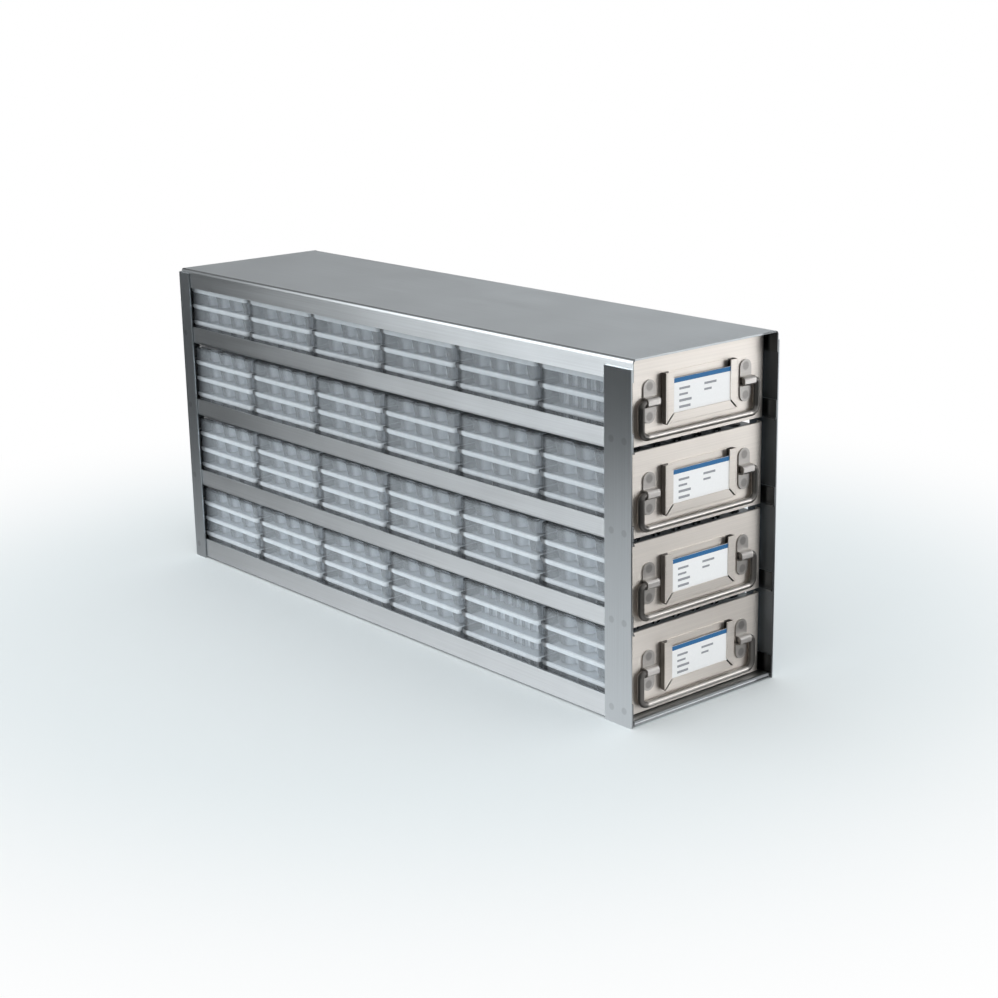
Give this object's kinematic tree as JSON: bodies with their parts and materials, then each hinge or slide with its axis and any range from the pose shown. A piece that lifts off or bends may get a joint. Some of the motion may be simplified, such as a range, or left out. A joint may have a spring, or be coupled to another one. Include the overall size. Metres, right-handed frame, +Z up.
{
  "type": "freezer storage rack",
  "caption": "Sheet-metal upright freezer rack with stacked pull-out drawers of clear microplates, each with a label holder and a swinging bail handle.",
  "frame": {"origin": "middle of the footprint, on the surface that the posts stand on", "axes": "+Z up, the drawer fronts face -Y, +X to the right of somebody who faces them"},
  "size_m": [0.14, 0.54, 0.25],
  "materials": {
    "frame_steel": "satin",
    "drawer_steel": "satin",
    "handle_wire": "satin",
    "card": "matte",
    "plate_plastic": "gloss"
  },
  "bodies": {
    "frame": {"top_panel": "frame_steel", "post_front_left": "frame_steel", "post_front_right": "frame_steel", "post_rear_left": "frame_steel", "post_rear_right": "frame_steel", "shelf_1": "frame_steel", "shelf_2": "frame_steel", "shelf_3": "frame_steel", "shelf_4": "frame_steel"},
    "drawer_1": {"tray_1": "drawer_steel", "front_panel_1": "drawer_steel", "label_holder_1": "drawer_steel", "label_card_1": "card", "handle_clips_1": "drawer_steel", "plates_1": "plate_plastic"},
    "bail_1": {"handle_1": "handle_wire"},
    "drawer_2": {"tray_2": "drawer_steel", "front_panel_2": "drawer_steel", "label_holder_2": "drawer_steel", "label_card_2": "card", "handle_clips_2": "drawer_steel", "plates_2": "plate_plastic"},
    "bail_2": {"handle_2": "handle_wire"},
    "drawer_3": {"tray_3": "drawer_steel", "front_panel_3": "drawer_steel", "label_holder_3": "drawer_steel", "label_card_3": "card", "handle_clips_3": "drawer_steel", "plates_3": "plate_plastic"},
    "bail_3": {"handle_3": "handle_wire"},
    "drawer_4": {"tray_4": "drawer_steel", "front_panel_4": "drawer_steel", "label_holder_4": "drawer_steel", "label_card_4": "card", "handle_clips_4": "drawer_steel", "plates_4": "plate_plastic"},
    "bail_4": {"handle_4": "handle_wire"}
  },
  "joints": [
    {"name": "drawer_1_slide", "type": "slide", "parent": "frame", "child": "drawer_1", "axis": [0, -1, 0], "range_m": [0, 0.45]},
    {"name": "handle_1_swing", "type": "hinge", "parent": "drawer_1", "child": "bail_1", "pos_m": [0, -0.26385, 0.0332], "axis": [-1, 0, 0], "range_deg": [0, 180]},
    {"name": "drawer_2_slide", "type": "slide", "parent": "frame", "child": "drawer_2", "axis": [0, -1, 0], "range_m": [0, 0.45]},
    {"name": "handle_2_swing", "type": "hinge", "parent": "drawer_2", "child": "bail_2", "pos_m": [0, -0.26385, 0.0948], "axis": [-1, 0, 0], "range_deg": [0, 180]},
    {"name": "drawer_3_slide", "type": "slide", "parent": "frame", "child": "drawer_3", "axis": [0, -1, 0], "range_m": [0, 0.45]},
    {"name": "handle_3_swing", "type": "hinge", "parent": "drawer_3", "child": "bail_3", "pos_m": [0, -0.26385, 0.1564], "axis": [-1, 0, 0], "range_deg": [0, 180]},
    {"name": "drawer_4_slide", "type": "slide", "parent": "frame", "child": "drawer_4", "axis": [0, -1, 0], "range_m": [0, 0.45]},
    {"name": "handle_4_swing", "type": "hinge", "parent": "drawer_4", "child": "bail_4", "pos_m": [0, -0.26385, 0.218], "axis": [-1, 0, 0], "range_deg": [0, 180]}
  ]
}
